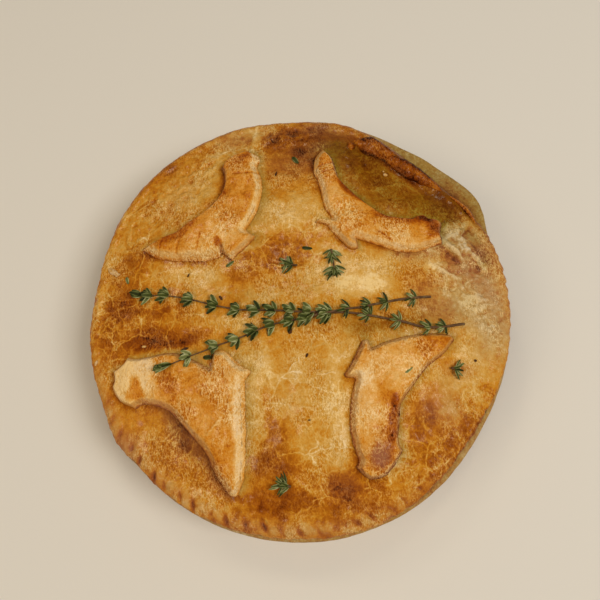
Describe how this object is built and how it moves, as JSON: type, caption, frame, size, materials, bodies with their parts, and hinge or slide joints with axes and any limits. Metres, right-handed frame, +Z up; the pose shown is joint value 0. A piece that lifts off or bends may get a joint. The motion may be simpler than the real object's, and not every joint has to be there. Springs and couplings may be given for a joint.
{
  "type": "turkey and ham pie",
  "caption": "Round baked double-crust pie with a domed golden lid, hen-shaped pastry cut-outs and thyme sprigs on top, solid inside, standing on its flat base.",
  "frame": {"origin": "middle of the flat base, on the surface that the pie stands on", "axes": "+Z up through the lid; +Y to the side of the pie that is far from the viewer in the picture; +X to the viewer's right"},
  "size_m": [0.2369, 0.2443, 0.0598],
  "materials": {
    "case_pastry": "baked shortcrust pastry, matte, pale gold",
    "lid_pastry": "egg-washed baked pastry, glossy, deep gold with brown patches",
    "hen_pastry": "egg-washed baked pastry, satin, tan with pale cut edges",
    "thyme": "fresh leaves, satin, dark green"
  },
  "bodies": {
    "root": {"pie_case": "case_pastry", "pie_lid": "lid_pastry", "hen_lower_left": "hen_pastry", "hen_lower_right": "hen_pastry", "hen_upper_right": "hen_pastry", "hen_upper_left": "hen_pastry", "thyme_sprig_long": "thyme", "thyme_sprig_short": "thyme", "thyme_tip_double": "thyme", "thyme_tip_middle": "thyme", "thyme_tip_front": "thyme", "thyme_tip_right": "thyme"}
  },
  "joints": []
}
